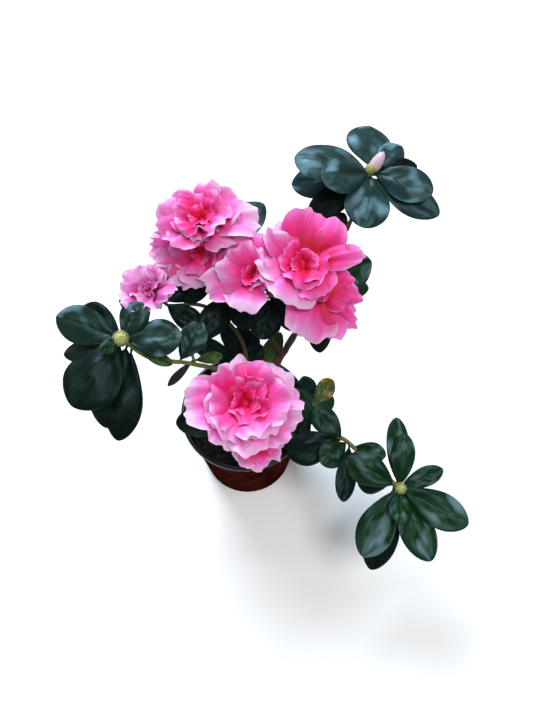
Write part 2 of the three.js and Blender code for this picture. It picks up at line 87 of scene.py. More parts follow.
# Each mass of leaves: its stem, then leaves as [place along the stem, turn, pitch, length, width,
# tint]. Turn is the angle round from +X and pitch the angle above level, both of the leaf's chord.
# The tints also paint light: leaves in shade take the near-black tint as painted shade, and leaves that face
# the sky take the blue-grey sky-lit tints.
MASSES = {
    "foliage_left": {
        "stem": [[-36.2, -2, 146.2], [-52, -5, 156], [-66, -1, 169.5]], "radii": [1.25, 1.6],
        "leaves": [
            [1.0, 162, 6, 41, 21, "sky_lit_cool"], [0.97, 141, 2, 36, 17, "shaded"], [1.0, 55, 31, 24, 16, "sky_lit_cool"],
            [0.97, 1, 6, 34, 20, "sky_lit_cool"], [0.99, -124, -14, 46, 31, "shaded"],
            [0.9, -104, -24, 49, 27, "shaded"], [0.82, -101, -34, 55, 21, "shaded"],
            [1.0, -127, 20, 16, 8, "green"], [0.9, 176, -22, 46, 13, "shaded"],
            [0.02, 58, 26, 28, 16, "sky_lit_cool"], [0.9, 88, -14, 38, 15, "shaded"],
            [0.7, -10, -26, 21, 7, "lime"],
        ],
        "buds": [{"turn": -90, "pitch": 62, "reach": 8, "size": 8.6, "look": "green", "tone": 0.6}],
        "seed": 11,
    },
    "foliage_left_inner": {
        "stem": [[-28.7, 1.4, 140.8], [-30, 4, 146], [-31, 6, 151]], "radii": [0.9, 0.9],
        "leaves": [
            [0.9, 49, 16, 38, 17, "shaded"], [0.5, 70, 10, 13, 12, "sky_lit_cool"], [0.1, 4, 10, 18, 7, "lime"],
            [0.15, -141, -25, 23, 5, "brown"],
        ],
        "buds": [], "seed": 17,
    },
    "foliage_back_right": {
        "stem": [[62, 60, 192.5], [69, 73, 203], [76, 87, 213]], "radii": [1.3, 1.6],
        "leaves": [
            [0.98, 171, 6, 46, 23, "sky_lit_slate"], [0.97, -156, 12, 34, 20, "sky_lit_slate"],
            [0.93, 170, -16, 48, 21, "sky_lit_slate"], [0.96, -99, -14, 37, 25, "sky_lit_slate"],
            [0.98, -31, 2, 38, 19, "sky_lit_slate"], [0.9, -30, -10, 46, 18, "sky_lit_slate"],
            [1.0, 88, 8, 36, 27, "sky_lit_slate"], [0.97, 46, 4, 30, 15, "sky_lit_slate"],
            [0.92, 15, 2, 30, 12, "shaded"], [0.85, -161, -24, 40, 16, "shaded"],
            [0.06, 120, 0, 14, 8, "brown"],
        ],
        "buds": [
            {"turn": 40, "pitch": 50, "reach": 12.5, "size": 6.6, "look": "pink", "tone": 0.6},
            {"turn": -150, "pitch": 55, "reach": 6, "size": 6.0, "look": "green", "tone": 0.6},
        ],
        "seed": 23,
    },
    "foliage_right": {
        "stem": [[60, -28, 97], [68, -33, 97], [84, -48, 93.5], [98, -61, 91.5]], "radii": [1.3, 1.6],
        "leaves": [
            [0.97, 87, 20, 44, 15, "green"], [1.0, 83, 32, 35, 14, "green"], [0.99, 18, 16, 30, 12, "green"],
            [0.98, -32, 4, 46, 21, "green"], [0.99, -71, -6, 46, 21, "green"],
            [1.0, -98, 12, 25, 13, "green"], [0.97, -121, -12, 48, 22, "green"],
            [0.93, -109, -24, 55, 20, "shaded"], [0.97, 151, 10, 36, 20, "green"],
            [0.9, 177, -6, 22, 15, "shaded"], [0.05, 133, 12, 43, 15, "green"],
            [0.1, 140, 26, 28, 16, "green"], [0.1, -167, -6, 38, 21, "shaded"],
            [0.16, -139, 4, 24, 16, "green"], [0.2, -99, -14, 37, 13, "shaded"],
            [0.25, -20, 6, 22, 12, "green"],
        ],
        "buds": [
            {"turn": -70, "pitch": 65, "reach": 7, "size": 7.0, "look": "green", "tone": 0.5},
        ],
        "seed": 37,
    },
    "foliage_right_inner": {
        "stem": [[43.8, -16, 95.8], [45, -12, 101], [46, -9, 106]], "radii": [0.9, 0.9],
        "leaves": [
            [0.9, 50, 12, 22, 13, "yellow"], [0.7, 29, -4, 17, 13, "green"],
            [0.3, -125, -8, 24, 14, "shaded"], [0.8, 105, 10, 22, 12, "shaded"],
        ],
        "buds": [], "seed": 43,
    },
    "foliage_centre": {
        "stem": [[6.5, 7.5, 85], [-1, 16, 102], [-5, 20, 116]], "radii": [1.5, 1.1],
        "leaves": [
            [0.95, 109, 50, 21, 12, "shaded"], [0.9, 119, 50, 29, 10, "shaded"],
            [0.85, 80, 45, 28, 12, "shaded"], [0.7, 40, 30, 22, 13, "shaded"], [0.8, 60, 35, 26, 14, "shaded"],
            [0.9, 175, 35, 36, 13, "shaded"], [0.5, -151, 50, 36, 10, "sky_lit_cool"],
            [0.12, 51, 50, 49, 13, "lime"],
        ],
        "buds": [], "seed": 41,
    },
    "foliage_small_flower": {
        "stem": [[-45, 30, 160], [-47.6, 31, 162.5], [-50, 31.5, 165]], "radii": [1.0, 0.9],
        "leaves": [
            [0.3, 52, -10, 26, 15, "shaded"], [0.3, -28, -20, 28, 14, "shaded"],
            [0.6, 174, -6, 28, 14, "shaded"], [0.5, 97, 0, 35, 14, "shaded"],
        ],
        "buds": [], "seed": 53,
    },
    "foliage_back_left": {
        "stem": [[-17, 57, 171], [-19, 59, 174], [-20, 60, 176]], "radii": [1.1, 1.0],
        "leaves": [
            [0.7, 37, 22, 45, 20, "sky_lit_cool"], [0.5, 172, -10, 37, 18, "shaded"],
            [0.4, -127, -30, 34, 18, "shaded"], [0.8, 102, 2, 36, 16, "shaded"], [0.6, 29, 0, 26, 14, "shaded"],
        ],
        "buds": [], "seed": 61,
    },
    "foliage_middle": {
        "stem": [[18.8, 29, 168.2], [16.6, 29.8, 170.5], [15, 30, 172.5]], "radii": [1.1, 1.0],
        "leaves": [
            [0.3, -150, -18, 28, 20, "shaded"], [0.2, -106, -34, 26, 18, "shaded"],
            [0.6, -33, -40, 30, 13, "shaded"], [0.5, 108, -6, 32, 15, "shaded"],
        ],
        "buds": [], "seed": 67,
    },
    "foliage_right_flowers": {
        "stem": [[45, 32, 171], [46.5, 34, 174], [47.5, 35.5, 176.5]], "radii": [1.2, 1.0],
        "leaves": [
            [0.6, 27, 4, 36, 21, "green"], [0.5, 7, -12, 32, 13, "green"], [0.3, -87, -40, 39, 15, "shaded"],
            [0.9, 69, 0, 34, 15, "shaded"], [0.1, -124, -50, 30, 9, "lime"],
        ],
        "buds": [], "seed": 71,
    },
    "foliage_front": {
        "stem": [[4.3, 1, 79], [1.5, -10, 89], [0, -16, 96]], "radii": [1.4, 1.0],
        "leaves": [
            [0.9, -172, 8, 46, 21, "shaded"], [0.7, -26, -2, 45, 18, "shaded"], [0.95, 153, 14, 42, 14, "shaded"],
            [0.5, 5, 4, 44, 14, "shaded"],
        ],
        "buds": [], "seed": 79,
    },
}
# A bloom: the middle of its face, the way it faces, its size across, and how far it has opened.
# Its outer and crown petals are [turn round the face, reach from its middle, width, blush], where a
# high blush is paler; the heart of small petals follows the whorls below, made paler by "pale".
BLOOMS = {
    "bloom_front": {
        "face": [3, -30, 150], "faces": [0.0, -0.28, 0.96], "across": 58, "open": 1.0,
        "outer": [
            [88, 26, 25, 1.0], [32, 29, 32, 1.0], [-10, 33, 28, 0.7], [-40, 32, 26, 0.7],
            [-76, 30, 32, 0.8], [-114, 29, 28, 0.8], [182, 35, 32, 0.8], [140, 27, 24, 0.7],
        ],
        "crown": [
            [100, 20, 36, 0.2], [165, 20, 28, 0.5], [-150, 23, 28, 0.6], [-102, 23, 34, 0.75],
            [-58, 24, 30, 0.75], [-5, 25, 28, 0.6], [50, 23, 27, 0.4],
        ],
        "heart": [0, 1], "foot": "bough_front", "seed": 101,
    },
    "bloom_front_low": {
        "face": [9, -42, 119], "faces": [0.2, -0.8, 0.56], "across": 34, "open": 0.9,
        "outer": [
            [-90, 18, 22, 0.7], [-132, 17, 20, 0.8], [-48, 18, 18, 0.7], [-8, 17, 18, 0.7],
            [180, 14, 18, 0.6], [60, 13, 18, 0.5],
        ],
        "crown": [[-100, 11, 20, 0.2], [-20, 11, 18, 0.2], [140, 10, 18, 0.2]],
        "heart": [1], "foot": "bough_front", "seed": 103,
    },
    "bloom_upper_left": {
        "face": [-22, 55.5, 209], "faces": [-0.1, -0.3, 0.95], "across": 48, "open": 1.0,
        "outer": [
            [185, 25.5, 26, 0.6], [160, 23, 26, 0.6], [120, 18, 24, 0.6], [58, 20.5, 28, 0.6],
            [22, 24.5, 26, 0.6], [-11, 34, 22, 0.85], [-38, 25, 26, 0.7], [-88, 14.5, 26, 0.8],
            [-142, 21.5, 26, 0.7],
        ],
        "crown": [
            [95, 13, 24, 0.4], [30, 15, 24, 0.45], [-30, 17, 24, 0.7], [-80, 12, 26, 0.9],
            [-130, 14, 22, 0.7], [165, 16, 24, 0.4],
        ],
        "heart": [0, 1], "foot": "bough_back_left", "seed": 107,
    },
    "bloom_upper_left_low": {
        "face": [-24, 46, 189], "faces": [-0.35, -0.8, 0.5], "across": 42, "open": 0.95,
        "outer": [
            [178, 31, 24, 0.6], [-158, 29, 22, 0.6], [-145, 26, 24, 0.85], [-124, 24, 24, 0.9],
            [-97, 20.5, 26, 0.9], [-68, 17, 24, 0.7], [0, 23, 24, 0.4], [70, 12, 20, 0.5],
        ],
        "crown": [[-100, 13, 26, 0.5], [-40, 14, 24, 0.4], [20, 15, 24, 0.2], [170, 16, 24, 0.5]],
        "heart": [1], "foot": "bough_back_left", "seed": 109,
    },
    "bloom_middle": {
        "face": [6, 26, 193], "faces": [-0.4, -0.5, 0.76], "across": 38, "open": 0.95,
        "outer": [
            [-107, 20.5, 26, 1.0], [-165, 28.5, 21, 0.8], [162, 23, 22, 0.7], [91, 24, 26, 0.5],
            [40, 16, 20, 0.5], [-50, 11, 14, 0.7],
        ],
        "crown": [[175, 17, 22, 0.8], [100, 16, 20, 0.6], [20, 13, 20, 0.7], [-60, 8, 14, 0.9]],
        "heart": [1], "foot": "bough_middle", "seed": 113,
    },
    "bloom_right": {
        "face": [35, 26, 204], "faces": [0.0, -0.42, 0.9], "across": 44, "open": 1.0,
        "outer": [
            [70, 28, 36, 0.1], [124, 26, 26, 0.7], [168, 25, 28, 0.75], [-122, 24, 34, 0.75],
            [8, 32, 14, 0.4], [-62, 21, 24, 0.2], [40, 23, 18, 0.0],
        ],
        "crown": [[-95, 15, 22, 0.3], [-30, 13, 20, 0.2], [160, 12, 18, 0.3]],
        "heart": [1], "foot": "bough_right_flowers", "seed": 127,
    },
    "bloom_right_low": {
        "face": [46, 18, 188], "faces": [0.36, -0.74, 0.56], "across": 40, "open": 0.95,
        "outer": [
            [-116, 28, 32, 0.8], [-78, 28, 26, 0.3], [-44, 29, 15, 0.3], [-14, 23, 22, 0.3],
            [22, 19, 19, 0.2], [170, 14, 18, 0.2],
        ],
        "crown": [[-20, 15, 18, 0.1]],
        "heart": [1], "foot": "bough_right_flowers", "seed": 131,
    },
    "bloom_small_left": {
        "face": [-53, 27, 178], "faces": [-0.2, -0.3, 0.93], "across": 28, "open": 0.65,
        "outer": [
            [150, 15, 19, 0.9], [80, 14, 19, 0.85], [20, 14, 19, 0.8], [-60, 15, 20, 0.9],
            [-130, 16, 20, 0.9], [-25, 23, 17, 0.8],
        ],
        "crown": [[110, 9, 15, 1.0], [-10, 9, 15, 0.75], [-120, 9, 16, 0.9]],
        "heart": [0, 1], "foot": "bough_small_flower", "seed": 137,
        "mauve": True, "pale": 0.3,
    },
}
# Angles are from the bloom's axis at a petal's foot and tip, "up" and "out" where it is rooted.
OUTER = {"lean": 48, "reach": 96, "up": 0.30, "out": 0.20}
CROWN = {"lean": 34, "reach": 78, "up": 0.40, "out": 0.14}
# Whorls of the heart; lengths and widths are shares of the bloom's radius.
HEART = [
    {
        "count": 5, "length": 0.54, "width": 0.72, "lean": 28, "reach": 74,
        "up": 0.40, "out": 0.12, "blush": 0.2,
    },
    {
        "count": 5, "length": 0.36, "width": 0.46, "lean": 22, "reach": 66,
        "up": 0.42, "out": 0.07, "blush": 0.15,
    },
]
# The tube that the petals stand on, as shares of the bloom's radius, and how its stalk bends.
FUNNEL = {"depth": 0.62, "mouth": 0.2, "length": 0.42, "elbow": 0.3}
# A leaf's blade: its stalk's share of the length, the powers that set its widest place and its
# blunt ends, its bow in degrees, its side veins, and the heights of its folds and lumps.
LEAF = {
    "rows": 30, "columns": 17, "thick": 0.45, "widen": 1.06,
    "petiole": 0.07, "widest": 1.35, "blunt": 0.56, "stalk": 0.7, "tip": 0.05, "droop": 26,
    "veins": 5, "slant": 1.3, "first": 0.25,
    "fold": 0.07, "sag": 0.20, "quilt": 0.16, "lump": 0.045, "wave": 0.5, "groove": 0.30,
}
# A petal's blade: its foot's share of the width, where it reaches its full width, how round its
# end is, and the heights of its frills, ruffles and middle groove.
BLADE = {
    "rows": 18, "columns": 29, "thick": 0.28, "foot": 0.13, "full": 0.8, "blunt": 0.42,
    "twist": 14, "spare": 1.15, "frill": 0.042, "fine_frill": 0.02,
    "ruffle": 0.12, "fine_ruffle": 0.055, "groove": 0.02,
}
# A bud: how high its egg is widest, the egg under its scales, and the whorls' low and high ends.
BUD = {
    "belly": 0.42, "core": 0.82, "scales": 5, "thick": 0.22, "half_turn": 0.95, "open": 0.07,
    "whorls": [(0.0, 0.42), (0.05, 0.66), (0.1, 0.86), (0.15, 1.0)],
}
# Lights as (place, size, power, colour), all aimed at the middle of the plant.
LIGHTS = {
    "window": ((-0.35, 0.75, 1.1), 0.7, 23, (0.76, 0.88, 1.0)),
    "room": ((0.3, -0.5, 1.5), 0.6, 14, (1.0, 0.98, 0.95)),
}
LIT_POINT = (0, 0, 0.12)
SKY = {"colour": (0.9, 0.95, 1.0, 1.0), "strength": 0.28}
# Tilt from straight down in degrees, then focal length and frame height in pixels.
CAMERA = {"place": (0.0151, -0.1681, 0.4195), "tilt": 32, "focal": 535, "frame": 711, "sensor": 36}


# ---- shape helpers ---------------------------------------------------------------------------
def unit(v):
    v = np.asarray(v, float)
    return v / np.linalg.norm(v)


def direction(turn, pitch):
    t, p = math.radians(turn), math.radians(pitch)
    return np.array([math.cos(t) * math.cos(p), math.sin(t) * math.cos(p), math.sin(p)])


def ring_angles(count):
    return np.linspace(0, 2 * np.pi, count, endpoint=False)


def route_points(route, count):
    """Evenly spaced points on a smooth curve through the route, and the curve's length."""
    p = np.asarray(route, float)
    p = np.vstack([2 * p[0] - p[1], p, 2 * p[-1] - p[-2]])
    fine = []
    for i in range(1, len(p) - 2):
        t = np.linspace(0, 1, 16, endpoint=i == len(p) - 3)[:, None]
        a, b, c, d = p[i - 1 : i + 3]
        square, cube = 2 * a - 5 * b + 4 * c - d, 3 * b - a - 3 * c + d
        fine.append(0.5 * (2 * b + (c - a) * t + square * t**2 + cube * t**3))
    fine = np.vstack(fine)
    run = np.concatenate([[0], np.cumsum(np.linalg.norm(np.diff(fine, axis=0), axis=1))])
    at = np.linspace(0, run[-1], count)
    return np.stack([np.interp(at, run, fine[:, k]) for k in range(3)], 1), run[-1]


def running_sum(way, steps):
    """Where a walk along the given directions has got to at each step."""
    middle = (way[1:] + way[:-1]) / 2 * steps[:, None]
    return np.vstack([np.zeros(3), np.cumsum(middle, 0)])


def read_rows(table, at, places):
    """The table's rows at the given places, read between its own rows."""
    return np.stack([np.interp(places, at, table[:, k]) for k in range(3)], -1)


def link_object(name, mesh):
    obj = bpy.data.objects.new(name, mesh)
    bpy.context.scene.collection.objects.link(obj)
    return obj


class Heap:
    """Gathers surfaces of one kind into one mesh. Each point keeps its marks: how far along and
    across its own leaf or petal it lies, that blade's tone, and which side it is on."""

    def __init__(self):
        self.points, self.faces, self.marks, self.sheets = [], [], [], []
        self.tiles, self.count = 0, 0

    def add(self, points, along, across, tone, side, closed=False, flip=False):
        """A grid of points, closed round its second direction if it is a tube."""
        n, m, _ = points.shape
        columns = m if closed else m - 1
        i, j = np.meshgrid(np.arange(n - 1), np.arange(columns), indexing="ij")
        after = (j + 1) % m
        faces = np.stack([i * m + j, i * m + after, (i + 1) * m + after, (i + 1) * m + j], -1)
        faces = faces.reshape(-1, 4)
        steps = ((0, 0), (0, 1), (1, 1), (1, 0))
        uv = np.stack([np.stack([i + a, j + b], -1) for a, b in steps], 2).reshape(-1, 4, 2)
        uv = uv / [n - 1, columns]
        if flip:
            faces, uv = faces[:, ::-1], uv[:, ::-1]
        self.faces.append(faces + self.count)
        self.sheets.append((self.tiles, uv))
        self.tiles += 1
        self.points.append(points.reshape(-1, 3))
        marks = np.stack(np.broadcast_arrays(along, across, tone, side), -1)
        self.marks.append(np.broadcast_to(marks, (n, m, 4)).reshape(-1, 4))
        self.count += n * m

    def sheet(self, points, normals, thick, along, across, tone):
        """A thin closed blade: two faces, joined round the rim."""
        n, m, _ = points.shape
        start = self.count
        taper = 1 - 0.75 * np.maximum(np.abs(across), along) ** 8
        lift = normals * thick / 2 * taper[..., None]
        self.add(points + lift, along, across, tone, 0.0)
        self.add(points - lift, along, across, tone, 1.0, flip=True)
        rim = np.concatenate([
            np.arange(m - 1), np.arange(n - 1) * m + m - 1,
            (n - 1) * m + np.arange(m - 1, 0, -1), np.arange(n - 1, 0, -1) * m,
        ])
        ahead = np.roll(rim, -1)
        under = n * m
        self.faces.append(np.stack([ahead, rim, rim + under, ahead + under], 1) + start)
        place = np.stack([rim // m / (n - 1), rim % m / (m - 1)], 1)
        place_ahead = np.roll(place, -1, 0)
        uv = np.stack([place_ahead, place, place, place_ahead], 1)
        self.sheets.append((self.tiles - 2, uv))

    def tube(self, route, radii, sides, step, tone, relief=0.0, draw=None, cap=True):
        """A round limb along a route; relief roughens it with waves, cap draws in its end."""
        _, length = route_points(route, 2)
        count = max(4, int(length / step) + 1)
        middle, _ = route_points(route, count)
        way = np.gradient(middle, axis=0)
        way /= np.linalg.norm(way, axis=1)[:, None]
        side = np.cross(way, UP if abs(way[0, 2]) < 0.9 else np.array([1.0, 0, 0]))
        side /= np.linalg.norm(side, axis=1)[:, None]
        other = np.cross(way, side)
        s = np.linspace(0, 1, count)
        angle = ring_angles(sides)[None, :]
        radius = np.interp(s, np.linspace(0, 1, len(radii)), radii)[:, None] * np.ones(sides)
        if relief:
            for _ in range(9):
                k, turns = draw.uniform(0.06, 0.5) * length, draw.integers(1, 5)
                phase = draw.uniform(0, ANY_PHASE)
                wave = np.sin(k * s[:, None] * 2 * np.pi / 6 + turns * angle + phase)
                radius = radius * (1 + relief * wave / 3)
        if cap:
            radius[-1] *= 0.3
        ring = np.cos(angle)[..., None] * side[:, None] + np.sin(angle)[..., None] * other[:, None]
        points = middle[:, None] + ring * radius[..., None]
        self.add(points, s[:, None], angle / np.pi - 1, tone, 0.0, closed=True, flip=True)

    def build(self, name, material, replaced, slot_name):
        mesh = bpy.data.meshes.new(name)
        points = np.vstack(self.points) * MM
        mesh.from_pydata(points.tolist(), [], np.vstack(self.faces).tolist())
        marks = np.vstack(self.marks)
        for k, mark in enumerate(["along", "across", "tone", "side"]):
            layer = mesh.attributes.new(mark, "FLOAT", "POINT")
            layer.data.foreach_set("value", np.ascontiguousarray(marks[:, k], dtype=np.float32))
        # Every blade has its own tile of the bake map, with a margin round it.
        rows = math.ceil(math.sqrt(self.tiles))
        corners = []
        for tile, uv in self.sheets:
            inset = 0.04 + 0.92 * uv
            corners.append((inset + [tile // rows, tile % rows]) / rows)
        layer = mesh.uv_layers.new(name="OFBake")
        layer.data.foreach_set("uv", np.vstack(corners).reshape(-1).astype(np.float32))
        mesh.validate()
        mesh.polygons.foreach_set("use_smooth", [True] * len(mesh.polygons))
        mesh.set_sharp_from_angle(angle=math.radians(60))
        mesh.materials.append(material)
        obj = link_object(name, mesh)
        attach(obj, "root")
        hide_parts(*replaced)


# ---- leaves, petals and buds -----------------------------------------------------------------
def leaf_shape(s):
    """A leaf's half width, as a share of its greatest, from its stalk to its rounded tip."""
    blade = np.clip((s - LEAF["petiole"]) / (1 - LEAF["petiole"]), 0, 1)
    return np.sin(np.pi * blade ** LEAF["widest"]) ** LEAF["blunt"]


def grow_leaf(heap, foot, turn, pitch, length, width, droop, roll, draw):
    chord = direction(turn, pitch)
    side = unit(np.cross(LIGHT, chord))
    face = np.cross(chord, side)
    s = (1 - np.cos(np.linspace(0, np.pi, LEAF["rows"]))) / 2
    angle = np.radians(droop * (0.5 - s))
    way = chord * np.cos(angle)[:, None] + face * np.sin(angle)[:, None]
    spine = foot + running_sum(way, np.diff(s) * length)
    up = np.cross(way, side)
    r = math.radians(roll)
    across = side * math.cos(r) + up * math.sin(r)
    above = up * math.cos(r) - side * math.sin(r)
    half = np.maximum(leaf_shape(s) * width / 2, LEAF["stalk"] * (1 - s) + LEAF["tip"])[:, None]
    bend, wave = draw.uniform(0, ANY_PHASE), draw.uniform(0.5, 1.5)
    s = s[:, None]
    t = np.linspace(-1, 1, LEAF["columns"])[None, :]
    wide, swell = np.abs(t), np.sin(np.pi * s)
    fold = LEAF["fold"] * wide - LEAF["sag"] * wide**2.2
    vein = np.abs(np.sin(np.pi * (LEAF["veins"] * s - LEAF["slant"] * wide + LEAF["first"])))
    quilt = LEAF["quilt"] * vein**0.8 * np.minimum(1, 6 * wide) * (1 - wide**4) * swell**0.5
    lump = np.sin(2.2 * np.pi * s + bend) * np.sin(1.6 * np.pi * t + 2 * bend)
    lump = LEAF["lump"] * width * lump * swell
    edge = np.sin(2 * np.pi * (1.3 * s) + bend + 1.7 * np.sign(t))
    edge = LEAF["wave"] * wave * wide**3 * edge * swell
    groove = -LEAF["groove"] * np.exp(-((wide / 0.07) ** 2)) * swell**0.4
    lift = fold * half + quilt + lump + edge + groove
    points = spine[:, None] + across[:, None] * (t * half)[..., None]
    points = points + above[:, None] * lift[..., None]
    normals = np.broadcast_to(above[:, None], points.shape)
    heap.sheet(points, normals, LEAF["thick"], s, t, draw.uniform(0, 1))


def grow_petal(heap, foot, axis, out, length, width, lean, reach, cup, ruffle, blush, draw):
    side = unit(np.cross(axis, out))
    twist = math.radians(draw.uniform(-BLADE["twist"], BLADE["twist"]))
    d = np.linspace(0, BLADE["spare"], 60)
    angle = np.radians(lean + (reach - lean) * d**0.9)
    way = axis * np.cos(angle)[:, None] + out * np.sin(angle)[:, None]
    spine = foot + running_sum(way, np.diff(d) * length)
    above = np.cross(side, way)
    turned = side * np.cos(twist * d)[:, None] + above * np.sin(twist * d)[:, None]
    above = above * np.cos(twist * d)[:, None] - side * np.sin(twist * d)[:, None]
    s = np.linspace(0, 1, BLADE["rows"])[:, None]
    t = np.sin(np.linspace(-np.pi / 2, np.pi / 2, BLADE["columns"]))[None, :]
    frill = np.zeros_like(t)
    for k in (2, 3, 5):
        waves = np.sin(k * t * 2.1 + draw.uniform(0, ANY_PHASE))
        frill = frill + BLADE["frill"] / k**0.5 * waves
    frill = frill + BLADE["fine_frill"] * np.sin(17 * t + draw.uniform(0, ANY_PHASE))
    at = s * (1 - BLADE["blunt"] * (1 - np.sqrt(np.maximum(1 - t**2, 0))) + frill)
    opening = np.sin(np.minimum(s / BLADE["full"], 1) * np.pi / 2) ** 0.9
    half = width / 2 * (BLADE["foot"] + (1 - BLADE["foot"]) * opening)
    phase, beats = draw.uniform(0, ANY_PHASE), draw.uniform(0.7, 1.35)
    wave = np.sin(beats * np.pi * t + phase + 1.6 * s)
    fine = np.sin(3.2 * beats * np.pi * t + 2.3 * phase - 2 * s)
    waves = BLADE["ruffle"] * wave * s**1.5 + BLADE["fine_ruffle"] * fine * s**2.5
    groove = BLADE["groove"] * length * np.exp(-((t / 0.16) ** 2)) * np.sin(np.pi * s)
    lift = cup * half * t**2 * (1 - 0.7 * s) + ruffle * width * waves - groove
    curve, normal, sideways = (read_rows(table, d, at) for table in (spine, above, turned))
    points = curve + sideways * (t * half)[..., None] + normal * lift[..., None]
    heap.sheet(points, normal, BLADE["thick"], s, t, blush)


def grow_bloom(petals, stalks, spec):
    draw = np.random.default_rng(spec["seed"])
    radius, spread = spec["across"] / 2, spec["open"]
    axis = unit(spec["faces"])
    foot = np.array(spec["face"]) - axis * FUNNEL["depth"] * radius
    right = unit(np.array([1, 0, 0]) - axis * axis[0])
    above = np.cross(axis, right)
    tip = np.array(BOUGHS[spec["foot"]]["route"][-1], float)
    elbow = foot - axis * FUNNEL["elbow"] * np.linalg.norm(foot - tip)
    mouth = foot + axis * FUNNEL["length"] * radius
    throat = FUNNEL["mouth"] * radius
    stalks.tube([tip, elbow, foot - axis], [0.9, 0.9, 1.3], 8, 1.2, 0.4, cap=False)
    funnel, radii = [foot - axis * 1.5, foot + axis * 2, mouth], [1.2, 1.9, throat, throat, 0.1]
    petals.tube(funnel, radii, 16, 0.8, -0.6, cap=False)

    def place(turn, whorl, length, width, lean, reach, blush, askew=0.0):
        out = right * math.cos(turn) + above * math.sin(turn)
        start = foot + axis * whorl["up"] * radius + out * whorl["out"] * radius * spread
        out = right * math.cos(turn + askew) + above * math.sin(turn + askew)
        cup, ruffle = draw.uniform(0.08, 0.26), draw.uniform(0.8, 1.4)
        blush = blush + draw.uniform(-0.08, 0.08)
        grow_petal(petals, start, axis, out, length, width, lean, reach, cup, ruffle, blush, draw)

    for whorl, kind in ((OUTER, "outer"), (CROWN, "crown")):
        for turn, reach, width, blush in spec[kind]:
            lean = whorl["lean"] * spread
            bend = (whorl["reach"] + draw.uniform(-10, 10)) * spread
            share = np.sin(np.radians(np.linspace(lean, bend, 20))).mean()
            length = (reach - whorl["out"] * radius * spread) / share
            place(math.radians(turn), whorl, length, width, lean, bend, blush)
    for k in spec["heart"]:
        whorl = HEART[k]
        for i in range(whorl["count"]):
            turn = (i + 0.37 * k + draw.uniform(-0.25, 0.25)) / whorl["count"] * 2 * math.pi
            length = radius * whorl["length"] * draw.uniform(0.8, 1.15)
            width = radius * whorl["width"] * draw.uniform(0.8, 1.15)
            lean = whorl["lean"] * spread + draw.uniform(-10, 10)
            bend = whorl["reach"] * spread + draw.uniform(-24, 18)
            blush = whorl["blush"] + spec.get("pale", 0.0) + draw.uniform(-0.2, 0.2)
            place(turn, whorl, length, width, lean, bend, blush, draw.uniform(-0.7, 0.7))


def egg(height, least):
    """The egg's half width at a height, both as shares; least keeps its ends from closing."""
    above = (height - BUD["belly"]) / (1 - BUD["belly"])
    return np.sqrt(np.maximum(1 - above**2, least))


def grow_bud(scales, foot, spec, draw):
    """A closed bud: whorls of scales lying on an egg, each a little inside the one below it."""
    axis = direction(spec["turn"], spec["pitch"])
    across = unit(np.cross(axis, [0.3, 1, 0.2]))
    other = np.cross(axis, across)
    reach, radius, tone = spec["reach"], spec["size"] / 2, spec["tone"]

    def on_egg(height, angle, size):
        out = across * np.cos(angle)[..., None] + other * np.sin(angle)[..., None]
        return foot + axis * (height * reach)[..., None] + out * (radius * size)[..., None], out

    s = np.linspace(0, 1, 12)[:, None]
    t = np.linspace(-1, 1, 13)[None, :]
    angle = ring_angles(16)[None, :]
    points, _ = on_egg(s * 0.97, angle, BUD["core"] * egg(s, 0.0005))
    scales.add(points, s, angle / np.pi - 1, tone, 0.0, closed=True, flip=True)
    for k, (low, high) in enumerate(BUD["whorls"]):
        lip = BUD["open"] if k < len(BUD["whorls"]) - 1 else 0.0
        for i in range(BUD["scales"]):
            turn = (i + 0.5 * k + draw.uniform(-0.1, 0.1)) / BUD["scales"] * 2 * math.pi
            height = low + (high - low) * s * (1 - 0.07 * t**2)
            size = egg(height, 0.001) * (1.04 - 0.07 * k) + lip * s**4
            angle = turn + BUD["half_turn"] * t * np.sqrt(np.maximum(1 - s**2.4, 0.003))
            points, out = on_egg(height, angle, size)
            scale_tone = tone + 0.1 * k + draw.uniform(-0.1, 0.1)
            scales.sheet(points, out, BUD["thick"], s, t, scale_tone)


# ---- materials -------------------------------------------------------------------------------
def linear(rgb):
    c = np.array(rgb, float) / 255
    return tuple(np.where(c <= 0.04045, c / 12.92, ((c + 0.055) / 1.055) ** 2.4)) + (1.0,)


